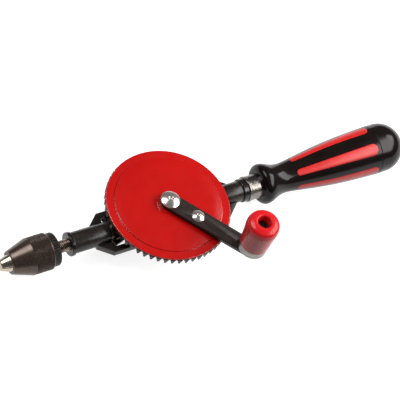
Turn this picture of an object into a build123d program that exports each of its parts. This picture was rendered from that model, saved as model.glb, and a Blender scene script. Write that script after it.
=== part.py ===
from build123d import *

import os
from math import acos, atan, cos, degrees, pi, radians, sin, sqrt, tan

# A hand drill: crank, big bevel wheel, two small bevel pinions, three-jaw chuck and hollow grip.
# X runs along the spindle from the mouth of the jaws (origin) to the end of the handle.
# Z runs along the wheel's axle, towards the crank. All sizes are in millimetres.

# ---- fits and gaps ----
running_fit = 0.05          # radial clearance of a shaft in its bush
screw_fit = 0.1             # radial clearance that stands for a screw thread
face_gap = 0.2              # end float between a turning face and a fixed one
side_gap = 0.3              # air between moving shapes that never touch
edge_break = 0.4            # small chamfer on turned edges

# ---- gears ----
gear_module = 1.5
wheel_teeth = 56
pinion_teeth = 12
face_width = 8.0            # length of the teeth, along the radius of the wheel
pinion_addendum = 1.9
wheel_addendum = 1.05
root_clearance = 0.4
profile_shift = 0.3
pressure_angle = 20.0
backlash = 0.3

# ---- spindle line, from the jaws to the frame ----
jaw_reach = 6.8             # how far the jaws stand out of the nose
nose_length = 14.0
knurl_length = 13.8
ring_length = 4.9
spindle_show = 9.5          # bare screw thread behind the chuck
collar_length = 2.6
barrel_length = 16.0
taper_length = 9.4
corner_margin = 2.1         # frame corner beyond the pitch circle of the wheel

# ---- chuck ----
nose_radius = 7.8
sleeve_radius = 12.5
nose_wall = 1.6
sleeve_wall = 2.25
ring_set_back = 1.2         # notched ring inside the sleeve's radius
ring_notches = 24
notch_radius = 0.7
grip_radius = 0.75          # hole left between the closed jaws
jaw_length = 12.0
jaw_opening = 2.2           # how far each jaw moves outwards
pusher_radius = 6.6
pusher_head = 2.8
pusher_stem_radius = 2.6
pusher_stem_length = 10.4
foot_width = 3.4
foot_length = 0.8
neck_width = 1.8
neck_length = 0.9
foot_inner = 2.6            # radial span of the jaw's foot, with the jaws closed
foot_outer = 5.0
snap_ring_width = 1.0
snap_ring_height = 0.8

# ---- spindle ----
thread_radius = 4.2
thread_depth = 0.45
thread_pitch = 1.1
thread_socket = 6.8         # length of spindle screwed into the chuck
pinion_seat_radius = 3.5
journal_radius = 3.0
journal_length = 6.0
collar_radius = 8.2
pin_radius = 1.0
collar_pin_radius = 0.75
pinion_hub_radius = 5.6
pinion_hub_length = 5.5
washer_thickness = 0.9
washer_radius = 7.0

# ---- frame ----
barrel_radius = 7.2
bush_wall = 1.2
window_gap = 0.5            # air between a pinion's teeth and the rails
rail_width = 4.0
plate_thickness = 5.0
plate_middle = -2.4
rear_barrel_length = 4.9
web_half = 11.0             # half length of the middle web, along the spindle
boss_radius = 9.5
boss_top = 5.4
boss_bottom = -7.0
fillet_size = 1.2

# ---- wheel and crank ----
rim_edge = 0.3              # rim beyond the pitch circle of the wheel
tooth_overhang = 0.4        # wheel teeth beyond the rim
tooth_ledge = 0.5           # rim inside the inner ends of the teeth
rim_face = 13.2
band_width = 5.6
band_step = 0.6             # edge of the raised web above the rim's band
crown_width = 5.5           # the web falls away towards its edge
crown_drop = 0.6
web_thickness = 2.4
wheel_boss_radius = 8.1
wheel_boss_top = 15.0
axle_radius = 4.0
axle_thread_radius = 3.0
axle_thread_length = 18.5
axle_head_radius = 7.0
axle_head_height = 2.7
head_side = 0.9             # upright edge of a screw head, below its dome
recess_radius = 1.7
recess_depth = 1.5
nut_radius = 5.8
nut_height = 4.6
thrust_ring_thickness = 0.8
arm_thickness = 3.0
arm_width = 12.8
arm_tip_width = 12.3
crank_radius = 62.0
arm_angle = -55.0
arm_screw_place = 21.3
arm_screw_radius = 2.0
arm_screw_head_radius = 4.5
arm_screw_head_height = 2.2
arm_head_side = 0.6
pad_radius = 4.6
knob_length = 31.5
knob_radius = 11.3
knob_base_radius = 9.9
knob_ring_radius = 9.7      # metal ring on the foot of the knob
knob_ring_length = 6.0
knob_spigot_radius = 8.6
knob_round = 5.0
knob_recess_radius = 4.4
knob_recess_depth = 7.0
knob_pin_radius = 3.0
knob_pin_head_radius = 3.8
knob_pin_head_height = 1.4
knob_washer_radius = 7.5
knob_washer_thickness = 1.2

# ---- handle ----
lock_ring_length = 4.1
lock_ring_radius = 8.1
tang_radius = 4.0
tang_length = 66.0
tang_start = 50.5           # from the wheel's axle
idler_shaft_end = 49.5      # from the wheel's axle
ferrule_length = 10.1
ferrule_radius = 8.5
ferrule_wall = 0.9
ferrule_lip = 0.45
lip_length = 1.6
grip_length = 92.1
mouth_place, mouth_radius = 0.0, 11.2
brow_place, brow_radius = 1.2, 12.8
bead_place, bead_radius = 3.6, 14.05
fall_place, fall_radius = 10.6, 12.25
waist_place, waist_radius = 17.6, 10.5
neck_place, neck_radius = 25.6, 10.95
swell_place, swell_radius = 51.3, 14.45
flare_place, flare_radius = 71.3, 16.2
seam_radius = 17.15
store_radius = 11.0         # bit store in the rear of the grip
store_depth = 45.0
cap_length = 24.3
cap_wall = 2.4
spigot_length = 10.0
spigot_wall = 1.6
seal_thickness = 0.9
seal_height = 1.6
inlay_count = 6
inlay_start = 26.7
inlay_end = 89.8
inlay_front_width = 4.8
inlay_rear_width = 8.8
inlay_depth = 0.9
inlay_proud = 0.12
inlay_turn = -27.0          # turn of the first strip from +Z towards -Y

# ---- places worked out from the sizes ----
wheel_pitch = gear_module * wheel_teeth / 2
pinion_pitch = gear_module * pinion_teeth / 2
rim_radius = wheel_pitch + rim_edge
web_top = rim_face + band_step + crown_drop
web_bottom = web_top - web_thickness
hub_radius = sleeve_radius - sleeve_wall - running_fit
ring_radius = sleeve_radius - ring_set_back
nose_x = jaw_reach
cone_x = nose_x + nose_length
sleeve_end = cone_x + knurl_length
ring_x = sleeve_end + face_gap
ring_end = ring_x + ring_length
collar_x = ring_end + spindle_show
collar_end = collar_x + collar_length
barrel_x = collar_end + face_gap
taper_x = barrel_x + barrel_length
corner_x = taper_x + taper_length
wheel_x = corner_x + corner_margin + wheel_pitch
rear_corner = 2 * wheel_x - corner_x
rear_taper = 2 * wheel_x - taper_x
rear_barrel_end = rear_taper + rear_barrel_length
lock_ring_end = rear_barrel_end + lock_ring_length
grip_x = lock_ring_end + ferrule_length
seam_x = grip_x + grip_length
cap_end = seam_x + cap_length

pinion_back = wheel_x - wheel_pitch
pinion_front = pinion_back + face_width
window_wall = pinion_back - washer_thickness - face_gap
window_half = pinion_pitch + pinion_addendum + window_gap
rail_reach = window_half + rail_width
cone_slope = (sleeve_radius - nose_radius) / nose_length
jaw_travel = jaw_opening / cone_slope
arm_bottom = wheel_boss_top
arm_top = arm_bottom + arm_thickness
knob_bottom = arm_top + knob_washer_thickness + side_gap
knob_top = knob_bottom + knob_length
hub_bottom = boss_top + thrust_ring_thickness + running_fit * 2
wheel_root = pinion_pitch + pinion_addendum + root_clearance
spindle_bush_radius = journal_radius + bush_wall
front_bush_radius = thread_radius + bush_wall
axle = Plane((wheel_x, 0, 0))
crank = axle.rotated((0, 0, arm_angle))

os.makedirs("parts", exist_ok=True)


def across(x, turn=0):
    """The plane square to the spindle at x, its own X towards +Y, turned from there towards +Z."""
    return Plane(origin=(x, 0, 0), x_dir=(0, cos(radians(turn)), sin(radians(turn))), z_dir=(1, 0, 0))


def half_outline(*points):
    """A closed outline in the XY plane, to be turned about the spindle's axis."""
    with BuildSketch(Plane.XY) as shape:
        with BuildLine():
            Polyline(*points, close=True)
        make_face()
    return shape.sketch


def tube(start, end, inner, outer):
    """The half section of a plain tube along the spindle."""
    return half_outline((start, inner), (end, inner), (end, outer), (start, outer))


def axle_outline(*points):
    """A closed outline of (radius, height), to be turned about the wheel's axle."""
    with BuildSketch(Plane(origin=(wheel_x, 0, 0), x_dir=(1, 0, 0), z_dir=(0, -1, 0))) as shape:
        with BuildLine():
            Polyline(*points, close=True)
        make_face()
    return shape.sketch


def crank_side(place):
    """The upright plane along the crank, with its origin at this distance from the axle."""
    return Plane(crank.from_local_coords((place, 0, 0)), x_dir=crank.x_dir, z_dir=-crank.y_dir)


def pin_outline(place, *points):
    """A closed outline of (radius, height), beside an axis that stands on the crank at place."""
    with BuildSketch(crank_side(place)) as shape:
        with BuildLine():
            Polyline(*points, close=True)
        make_face()
    return shape.sketch


def crank_axis(place):
    """The line along Z through the crank at this distance from the axle."""
    return Axis(crank.from_local_coords((place, 0, 0)), (0, 0, 1))


axle_axis = crank_axis(0)


def keep(part, name):
    """Label one finished piece and write its STEP file."""
    part.label = name
    export_step(part, f"parts/{name}.step")


# ================= chuck =================
# The sleeve turns on the chuck body. Inside it a pusher screws back and forth and carries the
# jaws along the sleeve's inner cone.
nose_bore = nose_radius - nose_wall
bore_x = nose_x + (hub_radius + running_fit - nose_bore) / cone_slope
hub_x = nose_x + nose_length + 1.6
ring_groove_x = sleeve_end - 5.0
with BuildPart() as chuck_sleeve:
    sleeve_shape = half_outline(
        (nose_x, nose_bore),
        (nose_x, nose_radius - edge_break),
        (nose_x + edge_break, nose_radius + edge_break * cone_slope),
        (cone_x, sleeve_radius),
        (sleeve_end - edge_break, sleeve_radius),
        (sleeve_end, sleeve_radius - edge_break),
        (sleeve_end, hub_radius + running_fit),
        (bore_x, hub_radius + running_fit),
    )
    revolve(sleeve_shape, axis=Axis.X)
    groove = tube(
        ring_groove_x - side_gap,
        ring_groove_x + snap_ring_width + side_gap,
        hub_radius,
        hub_radius + snap_ring_height + side_gap,
    )
    revolve(groove, axis=Axis.X, mode=Mode.SUBTRACT)
keep(chuck_sleeve.part, "chuck_sleeve")

with BuildPart() as snap_ring:
    ring_inner = hub_radius - snap_ring_height
    revolve(
        tube(ring_groove_x, ring_groove_x + snap_ring_width, ring_inner, hub_radius + snap_ring_height),
        axis=Axis.X,
    )
    with BuildSketch(across(ring_groove_x)):
        with Locations((0, -hub_radius)):
            Rectangle(1.6, 4 * snap_ring_height)
    extrude(amount=snap_ring_width, mode=Mode.SUBTRACT)
keep(snap_ring.part, "chuck_snap_ring")

pusher_x = jaw_length + face_gap
stem_end = pusher_x + pusher_head + pusher_stem_length
spindle_tip = ring_end - thread_socket
with BuildPart() as chuck_body:
    body_shape = half_outline(
        (hub_x, pusher_stem_radius + screw_fit),
        (hub_x, hub_radius - edge_break),
        (hub_x + edge_break, hub_radius),
        (ring_x, hub_radius),
        (ring_x, ring_radius - edge_break),
        (ring_x + edge_break, ring_radius),
        (ring_end - edge_break, ring_radius),
        (ring_end, ring_radius - edge_break),
        (ring_end, thread_radius),
        (spindle_tip, thread_radius),
        (spindle_tip, pusher_stem_radius + screw_fit),
    )
    revolve(body_shape, axis=Axis.X)
    ring_groove = tube(
        ring_groove_x, ring_groove_x + snap_ring_width, hub_radius - snap_ring_height, hub_radius + 1
    )
    revolve(ring_groove, axis=Axis.X, mode=Mode.SUBTRACT)
    with BuildSketch(across(ring_x)):
        with PolarLocations(ring_radius + notch_radius / 3, ring_notches):
            Circle(notch_radius)
    extrude(amount=ring_length, mode=Mode.SUBTRACT)
keep(chuck_body.part, "chuck_body")

slot_inner = foot_inner - side_gap
slot_reach = 2 * pusher_radius
neck_end = pusher_x + neck_length
slot_end = jaw_length + neck_length + face_gap + foot_length + face_gap
with BuildPart() as jaw_pusher:
    pusher_shape = half_outline(
        (pusher_x, 0),
        (pusher_x, pusher_radius - edge_break),
        (pusher_x + edge_break, pusher_radius),
        (pusher_x + pusher_head, pusher_radius),
        (pusher_x + pusher_head, pusher_stem_radius),
        (stem_end, pusher_stem_radius),
        (stem_end, 0),
    )
    revolve(pusher_shape, axis=Axis.X)
    with BuildSketch(across(pusher_x)):
        for jaw_angle in (90, 210, 330):
            with PolarLocations(slot_inner, 1, start_angle=jaw_angle):
                Rectangle(slot_reach, neck_width + 2 * side_gap, align=(Align.MIN, Align.CENTER))
    extrude(amount=slot_end - pusher_x, mode=Mode.SUBTRACT)
    with BuildSketch(across(neck_end - face_gap)):
        for jaw_angle in (90, 210, 330):
            with PolarLocations(slot_inner, 1, start_angle=jaw_angle):
                Rectangle(slot_reach, foot_width + 2 * side_gap, align=(Align.MIN, Align.CENTER))
    extrude(amount=slot_end - neck_end + face_gap, mode=Mode.SUBTRACT)
keep(jaw_pusher.part, "jaw_pusher")


def jaw(angle):
    """One chuck jaw: a third of a cone with a round hole's wall to grip with and a T foot."""
    outer_tip = nose_bore - side_gap - jaw_reach * cone_slope
    with BuildPart() as piece:
        cone = half_outline(
            (0, 0),
            (0, outer_tip - edge_break),
            (edge_break, outer_tip + edge_break * cone_slope),
            (jaw_length, outer_tip + jaw_length * cone_slope),
            (jaw_length, 0),
        )
        revolve(cone, axis=Axis.X)
        corner = side_gap / 2 / sin(pi / 3)
        with BuildSketch(across(0, angle)):
            with BuildLine():
                Polyline(
                    (corner, 0),
                    (corner + sleeve_radius, sleeve_radius * tan(pi / 3)),
                    (corner + sleeve_radius, -sleeve_radius * tan(pi / 3)),
                    close=True,
                )
            make_face()
        extrude(amount=jaw_length, mode=Mode.INTERSECT)
        with BuildSketch(across(0)):
            Circle(grip_radius)
        extrude(amount=jaw_length, mode=Mode.SUBTRACT)
        foot_middle = (foot_inner + foot_outer) / 2
        foot_span = foot_outer - foot_inner
        with BuildSketch(across(jaw_length)):
            with PolarLocations(foot_middle, 1, start_angle=angle):
                Rectangle(foot_span, neck_width)
        extrude(amount=neck_length + face_gap)
        with BuildSketch(across(jaw_length + neck_length + face_gap)):
            with PolarLocations(foot_middle, 1, start_angle=angle):
                Rectangle(foot_span, foot_width)
        extrude(amount=foot_length)
    return piece.part


for number, jaw_angle in enumerate((90, 210, 330), start=1):
    keep(jaw(jaw_angle), f"jaw_{number}")


# ================= gears =================
def involute_point(radius, tooth_thickness):
    """The point of the pinion's flank at this radius, for a tooth that points along +Y."""
    base_radius = pinion_pitch * cos(radians(pressure_angle))
    turn = acos(min(1, base_radius / max(radius, base_radius)))
    pitch_turn = radians(pressure_angle)
    half_angle = tooth_thickness / 2 / pinion_pitch
    half_angle += tan(pitch_turn) - pitch_turn - (tan(turn) - turn)
    return (radius * sin(half_angle), radius * cos(half_angle))


def pinion_section(scale, x):
    """The pinion's outline square to the spindle at x, shrunk towards the apex of the cones."""
    thickness = gear_module * (pi / 2 + 2 * profile_shift * tan(radians(pressure_angle)))
    tip_radius = pinion_pitch + pinion_addendum
    root_radius = pinion_pitch - wheel_addendum - root_clearance
    base_radius = pinion_pitch * cos(radians(pressure_angle))
    tip = Vector(*involute_point(tip_radius, thickness)) * scale
    middle = Vector(*involute_point((tip_radius + base_radius) / 2, thickness)) * scale
    base = Vector(*involute_point(base_radius, thickness)) * scale
    root = base * (root_radius / base_radius)
    pitch_angle = 360 / pinion_teeth
    next_root = Vector(-root.X, root.Y).rotate(Axis.Z, -pitch_angle)
    valley = Vector(0, root_radius * scale).rotate(Axis.Z, -pitch_angle / 2)

    half = (root, base, middle, tip)
    other_half = [Vector(-point.X, point.Y) for point in half]
    with BuildSketch(across(x)) as section:
        with BuildLine():
            for number in range(pinion_teeth):
                turn = -number * pitch_angle
                places = (*half, *other_half, Vector(0, tip_radius * scale), valley, next_root)
                turned = [place.rotate(Axis.Z, turn) for place in places]
                right, left = turned[:4], turned[4:8]
                crest, low, following = turned[8:]
                Line(left[0], left[1])
                ThreePointArc(left[1], left[2], left[3])
                ThreePointArc(left[3], crest, right[3])
                ThreePointArc(right[3], right[2], right[1])
                Line(right[1], right[0])
                ThreePointArc(right[0], low, following)
        make_face()
    return section.sketch


def pinion(outer_x, inner_x, hub_x_end, bore_radius):
    """A bevel pinion between two planes, with a round hub behind its small end."""
    small = (wheel_pitch - face_width) / wheel_pitch
    with BuildPart() as gear:
        loft([pinion_section(1, outer_x), pinion_section(small, inner_x)], ruled=True)
        low, high = sorted((inner_x, hub_x_end))
        revolve(tube(low, high, 0, pinion_hub_radius), axis=Axis.X)
        start, end = sorted((outer_x, hub_x_end))
        revolve(tube(start, end, 0, bore_radius), axis=Axis.X, mode=Mode.SUBTRACT)
    return gear.part


pinion_hub_end = pinion_front + pinion_hub_length
pinion_pin_x = pinion_front + pinion_hub_length / 2
# A wheel with an odd count has a tooth over this pinion in place of a gap, so the pinion turns.
gear = pinion(pinion_back, pinion_front, pinion_hub_end, pinion_seat_radius)
gear = gear.rotate(Axis.X, wheel_teeth % 2 * 180 / pinion_teeth)
with BuildPart() as drive_pinion:
    add(gear)
    with BuildSketch(Plane.XY.offset(-pinion_hub_radius)):
        with Locations((pinion_pin_x, 0)):
            Circle(pin_radius)
    extrude(amount=2 * pinion_hub_radius, mode=Mode.SUBTRACT)
keep(drive_pinion.part, "drive_pinion")

idler_back = wheel_x + wheel_pitch
idler_front = idler_back - face_width
idler = pinion(idler_back, idler_front, idler_front - pinion_hub_length, journal_radius + running_fit)
keep(idler, "idler_pinion")


def wheel_tooth_section(distance):
    """The outline of one wheel tooth, square to its own radius at this distance from the axle."""
    scale = distance / wheel_pitch
    slope = tan(radians(pressure_angle))
    pinion_tooth = gear_module * (pi / 2 + 2 * profile_shift * slope)
    half_pitch_width = (gear_module * pi - pinion_tooth - backlash) / 2
    tip_height = pinion_pitch - wheel_addendum
    buried = wheel_root + root_clearance
    half_tip = half_pitch_width - wheel_addendum * slope
    half_root = half_pitch_width + (buried - pinion_pitch) * slope
    corners = ((half_tip, tip_height), (half_root, buried), (-half_root, buried), (-half_tip, tip_height))
    with BuildSketch(across(distance)) as section:
        with BuildLine():
            Polyline(*[(y * scale, z * scale) for y, z in corners], close=True)
        make_face()
    return section.sketch


tooth_ends = (rim_radius + tooth_overhang, wheel_pitch - face_width)
wheel_tooth = loft([wheel_tooth_section(distance) for distance in tooth_ends], ruled=True)
root_slope = wheel_root / wheel_pitch
tooth_inner = tooth_ends[1] - tooth_ledge
with BuildPart() as drive_wheel:
    wheel_shape = axle_outline(
        (axle_radius + running_fit + bush_wall, hub_bottom),
        (wheel_boss_radius, hub_bottom),
        (wheel_boss_radius, web_bottom),
        (tooth_inner, web_bottom),
        (tooth_inner, tooth_inner * root_slope),
        (rim_radius, rim_radius * root_slope),
        (rim_radius, rim_face - edge_break),
        (rim_radius - edge_break, rim_face),
        (rim_radius - band_width, rim_face),
        (rim_radius - band_width, rim_face + band_step),
        (rim_radius - band_width - crown_width, web_top),
        (wheel_boss_radius, web_top),
        (wheel_boss_radius, wheel_boss_top - edge_break),
        (wheel_boss_radius - edge_break, wheel_boss_top),
        (axle_radius + running_fit + bush_wall, wheel_boss_top),
    )
    revolve(wheel_shape, axis=axle_axis)
    with Locations((wheel_x, 0, 0)):
        with PolarLocations(0, wheel_teeth, start_angle=180 / wheel_teeth):
            add(wheel_tooth)
    with BuildSketch(Plane.XY.offset(web_top - edge_break)):
        with Locations(crank.from_local_coords((arm_screw_place, 0, 0))):
            Circle(pad_radius)
    extrude(amount=wheel_boss_top - web_top + edge_break)
    with BuildSketch(Plane.XY):
        with Locations(crank.from_local_coords((arm_screw_place, 0, 0))):
            Circle(arm_screw_radius)
    extrude(amount=wheel_boss_top, mode=Mode.SUBTRACT)
keep(drive_wheel.part, "drive_wheel")

with BuildPart() as wheel_bush:
    bush_inner = axle_radius + running_fit
    bush_outer = bush_inner + bush_wall
    revolve(
        axle_outline(
            (bush_inner, hub_bottom),
            (bush_outer, hub_bottom),
            (bush_outer, wheel_boss_top),
            (bush_inner, wheel_boss_top),
        ),
        axis=axle_axis,
    )
keep(wheel_bush.part, "wheel_bush")

# ================= axle =================
head_bottom = arm_top + face_gap
head_edge = head_bottom + head_side
with BuildPart() as axle_screw:
    with BuildSketch(Plane(origin=(wheel_x, 0, 0), x_dir=(1, 0, 0), z_dir=(0, -1, 0))):
        with BuildLine():
            Polyline(
                (0, boss_top - axle_thread_length),
                (axle_thread_radius, boss_top - axle_thread_length),
                (axle_thread_radius, boss_top),
                (axle_radius, boss_top),
                (axle_radius, head_bottom),
                (axle_head_radius, head_bottom),
                (axle_head_radius, head_edge),
            )
            dome_top = (0, head_bottom + axle_head_height)
            TangentArc(dome_top, (axle_head_radius, head_edge), tangent=(1, 0))
            Line(dome_top, (0, boss_top - axle_thread_length))
        make_face()
    revolve(axis=axle_axis)
    with BuildSketch(axle.offset(head_bottom + axle_head_height)):
        Circle(recess_radius)
    extrude(amount=-recess_depth, mode=Mode.SUBTRACT)
keep(axle_screw.part, "axle_screw")

with BuildPart() as thrust_ring:
    with BuildSketch(axle.offset(boss_top)):
        Circle(wheel_boss_radius)
        Circle(axle_radius, mode=Mode.SUBTRACT)
    extrude(amount=thrust_ring_thickness)
keep(thrust_ring.part, "wheel_thrust_ring")

with BuildPart() as axle_nut:
    with BuildSketch(axle.offset(boss_bottom)):
        RegularPolygon(nut_radius, 6)
        Circle(axle_thread_radius, mode=Mode.SUBTRACT)
    extrude(amount=-nut_height)
    chamfer(axle_nut.faces().sort_by(Axis.Z)[0].outer_wire().edges(), edge_break)
keep(axle_nut.part, "axle_nut")

# ================= crank =================
with BuildPart() as crank_arm:
    with BuildSketch(crank.offset(arm_bottom)):
        Circle(arm_width / 2)
        with Locations((crank_radius, 0)):
            Circle(arm_tip_width / 2)
        make_hull()
    extrude(amount=arm_thickness)
    chamfer(crank_arm.faces().sort_by(Axis.Z)[-1].outer_wire().edges(), edge_break)
    with BuildSketch(crank.offset(arm_bottom)):
        Circle(axle_radius + side_gap)
        with Locations((arm_screw_place, 0)):
            Circle(arm_screw_radius)
        with Locations((crank_radius, 0)):
            Circle(knob_pin_radius)
    extrude(amount=arm_thickness, mode=Mode.SUBTRACT)
keep(crank_arm.part, "crank_arm")

with BuildPart() as arm_screw:
    screw_end = web_bottom
    screw_top = arm_top + arm_screw_head_height
    with BuildSketch(crank_side(arm_screw_place)):
        with BuildLine():
            Polyline(
                (0, screw_end),
                (arm_screw_radius, screw_end),
                (arm_screw_radius, arm_top),
                (arm_screw_head_radius, arm_top),
                (arm_screw_head_radius, arm_top + arm_head_side),
            )
            TangentArc((0, screw_top), (arm_screw_head_radius, arm_top + arm_head_side), tangent=(1, 0))
            Line((0, screw_top), (0, screw_end))
        make_face()
    revolve(axis=crank_axis(arm_screw_place))
    with BuildSketch(crank.offset(screw_top)):
        with Locations((arm_screw_place, 0)):
            Circle(recess_radius * 0.8)
    extrude(amount=-recess_depth * 0.8, mode=Mode.SUBTRACT)
keep(arm_screw.part, "arm_screw")

pin_head_top = knob_top - knob_recess_depth + side_gap + knob_pin_head_height
with BuildPart() as knob_pin:
    pin_shape = pin_outline(
        crank_radius,
        (0, arm_bottom - 1.0),
        (knob_pin_head_radius, arm_bottom - 1.0),
        (knob_pin_head_radius, arm_bottom),
        (knob_pin_radius, arm_bottom),
        (knob_pin_radius, pin_head_top - knob_pin_head_height),
        (knob_pin_head_radius, pin_head_top - knob_pin_head_height),
        (knob_pin_head_radius, pin_head_top - edge_break),
        (knob_pin_head_radius - edge_break, pin_head_top),
        (0, pin_head_top),
    )
    revolve(pin_shape, axis=crank_axis(crank_radius))
keep(knob_pin.part, "knob_pin")

with BuildPart() as knob_washer:
    with BuildSketch(crank.offset(arm_top)):
        with Locations((crank_radius, 0)):
            Circle(knob_washer_radius)
            Circle(knob_pin_radius, mode=Mode.SUBTRACT)
    extrude(amount=knob_washer_thickness)
keep(knob_washer.part, "knob_washer")

with BuildPart() as crank_knob:
    knob_bore = knob_pin_radius + running_fit
    recess_floor = knob_top - knob_recess_depth
    with BuildSketch(crank_side(crank_radius)):
        with BuildLine():
            Polyline(
                (knob_radius - knob_round, knob_top),
                (knob_recess_radius, knob_top),
                (knob_recess_radius, recess_floor),
                (knob_bore, recess_floor),
                (knob_bore, knob_bottom),
                (knob_spigot_radius, knob_bottom),
                (knob_spigot_radius, knob_bottom + knob_ring_length),
                (knob_base_radius, knob_bottom + knob_ring_length),
                (knob_radius, knob_top - knob_round),
            )
            ThreePointArc(
                (knob_radius, knob_top - knob_round),
                (knob_radius - knob_round * (1 - sqrt(0.5)), knob_top - knob_round * (1 - sqrt(0.5))),
                (knob_radius - knob_round, knob_top),
            )
        make_face()
    revolve(axis=crank_axis(crank_radius))
keep(crank_knob.part, "crank_knob")

with BuildPart() as knob_ring:
    with BuildSketch(crank.offset(knob_bottom)):
        with Locations((crank_radius, 0)):
            Circle(knob_ring_radius)
            Circle(knob_spigot_radius, mode=Mode.SUBTRACT)
    extrude(amount=knob_ring_length)
    outer_edges = [face.outer_wire().edges() for face in knob_ring.faces().filter_by(Axis.Z)]
    chamfer(outer_edges[0] + outer_edges[1], edge_break)
keep(knob_ring.part, "knob_ring")

# ================= spindle =================
journal_end = wheel_x - web_half + journal_length
seat_end = pinion_hub_end + 0.5
with BuildPart() as spindle:
    revolve(
        half_outline(
            (spindle_tip, 0),
            (spindle_tip, thread_radius - edge_break),
            (spindle_tip + edge_break, thread_radius),
            (pinion_back, thread_radius),
            (pinion_back, pinion_seat_radius),
            (seat_end, pinion_seat_radius),
            (seat_end, journal_radius),
            (journal_end - edge_break, journal_radius),
            (journal_end, journal_radius - edge_break),
            (journal_end, 0),
        ),
        axis=Axis.X,
    )
    grooves = int((spindle_show - 2 * edge_break) / thread_pitch)
    for number in range(grooves):
        groove_x = ring_end + edge_break + number * thread_pitch
        valley = half_outline(
            (groove_x, thread_radius + 0.1),
            (groove_x + thread_pitch / 2, thread_radius - thread_depth),
            (groove_x + thread_pitch, thread_radius + 0.1),
        )
        revolve(valley, axis=Axis.X, mode=Mode.SUBTRACT)
    with BuildSketch(Plane.XY.offset(-collar_radius)):
        with Locations((pinion_pin_x, 0)):
            Circle(pin_radius)
        with Locations(((collar_x + collar_end) / 2, 0)):
            Circle(collar_pin_radius)
    extrude(amount=2 * collar_radius, mode=Mode.SUBTRACT)
keep(spindle.part, "spindle")

with BuildPart() as collar:
    revolve(tube(collar_x, collar_end, thread_radius, collar_radius), axis=Axis.X)
    chamfer(collar.faces().sort_by(Axis.X)[0].outer_wire().edges(), edge_break)
    with BuildSketch(Plane.XY.offset(-collar_radius)):
        with Locations(((collar_x + collar_end) / 2, 0)):
            Circle(collar_pin_radius)
    extrude(amount=2 * collar_radius, mode=Mode.SUBTRACT)
keep(collar.part, "spindle_collar")

pins = (
    ("collar_pin", (collar_x + collar_end) / 2, collar_pin_radius, collar_radius - edge_break),
    ("pinion_pin", pinion_pin_x, pin_radius, pinion_hub_radius),
)
for name, place, radius, reach in pins:
    with BuildPart() as cross_pin:
        with BuildSketch(Plane.XY.offset(-reach)):
            with Locations((place, 0)):
                Circle(radius)
        extrude(amount=2 * reach)
    keep(cross_pin.part, name)

with BuildPart() as thrust_washer:
    revolve(
        tube(pinion_back - washer_thickness, pinion_back, thread_radius, washer_radius), axis=Axis.X
    )
keep(thrust_washer.part, "pinion_thrust_washer")

# ================= frame =================
idler_wall = 2 * wheel_x - window_wall
rear_bore_start = wheel_x + tang_start
with BuildPart() as frame_casting:
    with BuildSketch(Plane.XY.offset(plate_middle - plate_thickness / 2)):
        with BuildLine():
            Polyline(
                (taper_x, barrel_radius),
                (corner_x, rail_reach),
                (rear_corner, rail_reach),
                (rear_taper, barrel_radius),
                (rear_taper, -barrel_radius),
                (rear_corner, -rail_reach),
                (corner_x, -rail_reach),
                (taper_x, -barrel_radius),
                close=True,
            )
        make_face()
        for start, end in ((window_wall, wheel_x - web_half), (wheel_x + web_half, idler_wall)):
            with Locations(((start + end) / 2, 0)):
                RectangleRounded(end - start, 2 * window_half, 2 * fillet_size, mode=Mode.SUBTRACT)
    extrude(amount=plate_thickness)
    revolve(tube(barrel_x, window_wall, 0, barrel_radius), axis=Axis.X)
    revolve(tube(idler_wall, rear_barrel_end, 0, barrel_radius), axis=Axis.X)
    with BuildSketch(axle.offset(boss_bottom)):
        Circle(boss_radius)
    extrude(amount=boss_top - boss_bottom)
    front_bore = tube(barrel_x, window_wall, 0, front_bush_radius)
    middle_bore = tube(wheel_x - web_half, journal_end + face_gap, 0, spindle_bush_radius)
    idler_bore = tube(2 * wheel_x - journal_end, wheel_x + idler_shaft_end, 0, journal_radius)
    tang_bore = tube(rear_bore_start, rear_barrel_end, 0, tang_radius)
    for bore in (front_bore, middle_bore, idler_bore, tang_bore):
        revolve(bore, axis=Axis.X, mode=Mode.SUBTRACT)
    with BuildSketch(axle.offset(boss_bottom)):
        Circle(axle_thread_radius)
    extrude(amount=boss_top - boss_bottom, mode=Mode.SUBTRACT)
keep(frame_casting.part, "frame_casting")

bushes = (
    ("front_bush", barrel_x, window_wall, thread_radius),
    ("spindle_rear_bush", wheel_x - web_half, journal_end + face_gap, journal_radius),
)
for name, start, end, shaft_radius in bushes:
    with BuildPart() as bush:
        revolve(
            tube(start, end, shaft_radius + running_fit, shaft_radius + bush_wall), axis=Axis.X
        )
    keep(bush.part, name)

with BuildPart() as idler_shaft:
    shaft_start = 2 * wheel_x - journal_end
    revolve(tube(shaft_start, wheel_x + idler_shaft_end, 0, journal_radius), axis=Axis.X)
keep(idler_shaft.part, "idler_shaft")

# ================= handle =================
tang_end = rear_bore_start + tang_length
with BuildPart() as handle_tang:
    revolve(tube(rear_bore_start, tang_end, 0, tang_radius), axis=Axis.X)
    chamfer(handle_tang.faces().sort_by(Axis.X)[-1].edges(), edge_break)
keep(handle_tang.part, "handle_tang")

with BuildPart() as lock_ring:
    revolve(tube(rear_barrel_end, lock_ring_end, tang_radius, lock_ring_radius), axis=Axis.X)
    chamfer(lock_ring.faces().sort_by(Axis.X)[0].outer_wire().edges(), edge_break)
keep(lock_ring.part, "handle_lock_ring")

core_radius = ferrule_radius - ferrule_wall
with BuildPart() as ferrule:
    revolve(tube(lock_ring_end, grip_x, core_radius, ferrule_radius), axis=Axis.X)
    lip = tube(lock_ring_end, lock_ring_end + lip_length, core_radius, ferrule_radius + ferrule_lip)
    revolve(lip, axis=Axis.X)
    fillet(ferrule.faces().sort_by(Axis.X)[0].outer_wire().edges(), ferrule_lip)
keep(ferrule.part, "ferrule")

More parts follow.
